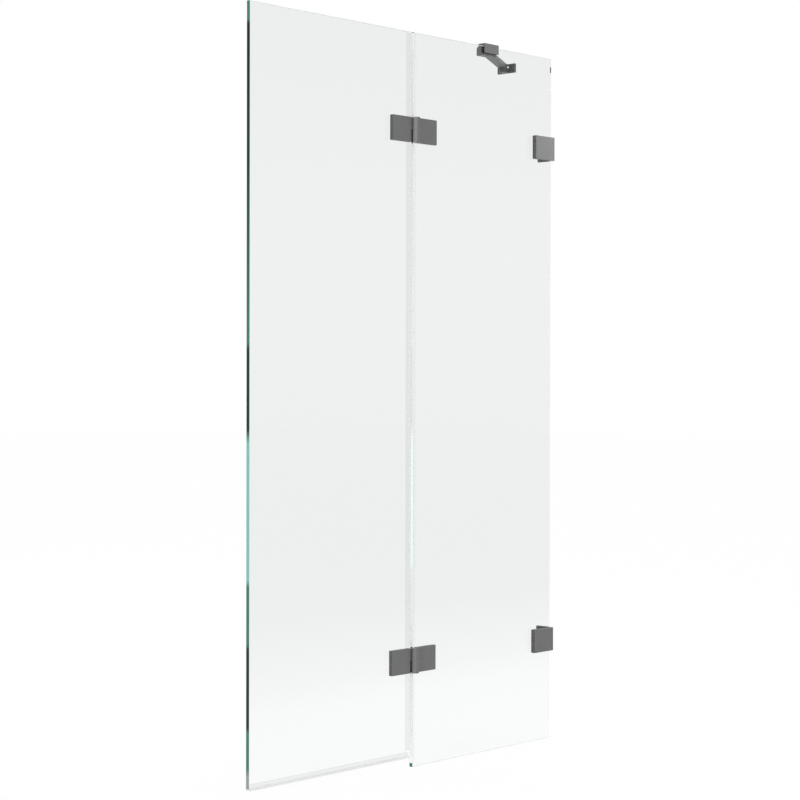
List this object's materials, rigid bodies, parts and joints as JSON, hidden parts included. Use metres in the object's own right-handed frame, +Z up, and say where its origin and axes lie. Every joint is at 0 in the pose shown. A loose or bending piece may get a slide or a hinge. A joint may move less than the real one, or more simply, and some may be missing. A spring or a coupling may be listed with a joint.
{
  "type": "shower screen",
  "caption": "Frameless bath shower screen: a fixed glass pane on wall brackets with a top stay, and a glass door that swings on glass-to-glass barrel hinges.",
  "frame": {"origin": "middle of the fixed pane's lower edge, on the rim that it stands on", "axes": "+X along the panes towards the wall, +Y from the front to the shower side, +Z up"},
  "size_m": [0.911, 0.1752, 1.5059],
  "materials": {
    "clear_glass": "clear toughened glass with polished green edges",
    "clear_seal": "clear flexible seal, slightly milky",
    "grey_hardware": "satin dark grey",
    "dark_screw_steel": "dark satin",
    "pin_steel": "ground",
    "gasket_rubber": "matt",
    "sleeve_plastic": "natural",
    "bearing_plastic": "matt"
  },
  "bodies": {
    "fixed_screen": {"fixed_pane": "clear_glass", "fixed_screws": "dark_screw_steel", "fixed_sleeves": "sleeve_plastic", "bracket_screws": "dark_screw_steel", "bracket_sleeves": "sleeve_plastic", "upper_fixed_leaf": "grey_hardware", "upper_fixed_back_plate": "grey_hardware", "upper_fixed_front_gasket": "gasket_rubber", "upper_fixed_back_gasket": "gasket_rubber", "lower_fixed_leaf": "grey_hardware", "lower_fixed_back_plate": "grey_hardware", "lower_fixed_front_gasket": "gasket_rubber", "lower_fixed_back_gasket": "gasket_rubber", "upper_hinge_pin": "pin_steel", "upper_thrust_washer": "bearing_plastic", "lower_hinge_pin": "pin_steel", "lower_thrust_washer": "bearing_plastic", "upper_wall_bracket": "grey_hardware", "upper_bracket_front_plate": "grey_hardware", "upper_bracket_front_gasket": "gasket_rubber", "upper_bracket_back_gasket": "gasket_rubber", "lower_wall_bracket": "grey_hardware", "lower_bracket_front_plate": "grey_hardware", "lower_bracket_front_gasket": "gasket_rubber", "lower_bracket_back_gasket": "gasket_rubber", "upper_fin_seal": "clear_seal", "middle_fin_seal": "clear_seal", "lower_fin_seal": "clear_seal", "stay_clamp": "grey_hardware", "stay_bar": "grey_hardware", "stay_wall_foot": "grey_hardware", "clamp_front_pad": "gasket_rubber", "clamp_back_pad": "gasket_rubber", "clamp_grub_screws": "dark_screw_steel", "clamp_pivot_screw": "dark_screw_steel", "foot_pivot_screw": "dark_screw_steel"},
    "door": {"door_pane": "clear_glass", "door_bottom_seal": "clear_seal", "door_screws": "dark_screw_steel", "door_sleeves": "sleeve_plastic", "upper_door_leaf": "grey_hardware", "upper_door_back_plate": "grey_hardware", "upper_door_front_gasket": "gasket_rubber", "upper_door_back_gasket": "gasket_rubber", "upper_hinge_bush": "bearing_plastic", "lower_door_leaf": "grey_hardware", "lower_door_back_plate": "grey_hardware", "lower_door_front_gasket": "gasket_rubber", "lower_door_back_gasket": "gasket_rubber", "lower_hinge_bush": "bearing_plastic"}
  },
  "joints": [
    {"name": "door_swing", "type": "hinge", "parent": "fixed_screen", "child": "door", "pos_m": [-0.2305, -0.016, 0.22], "axis": [0, 0, 1], "range_deg": [0, 180]}
  ]
}
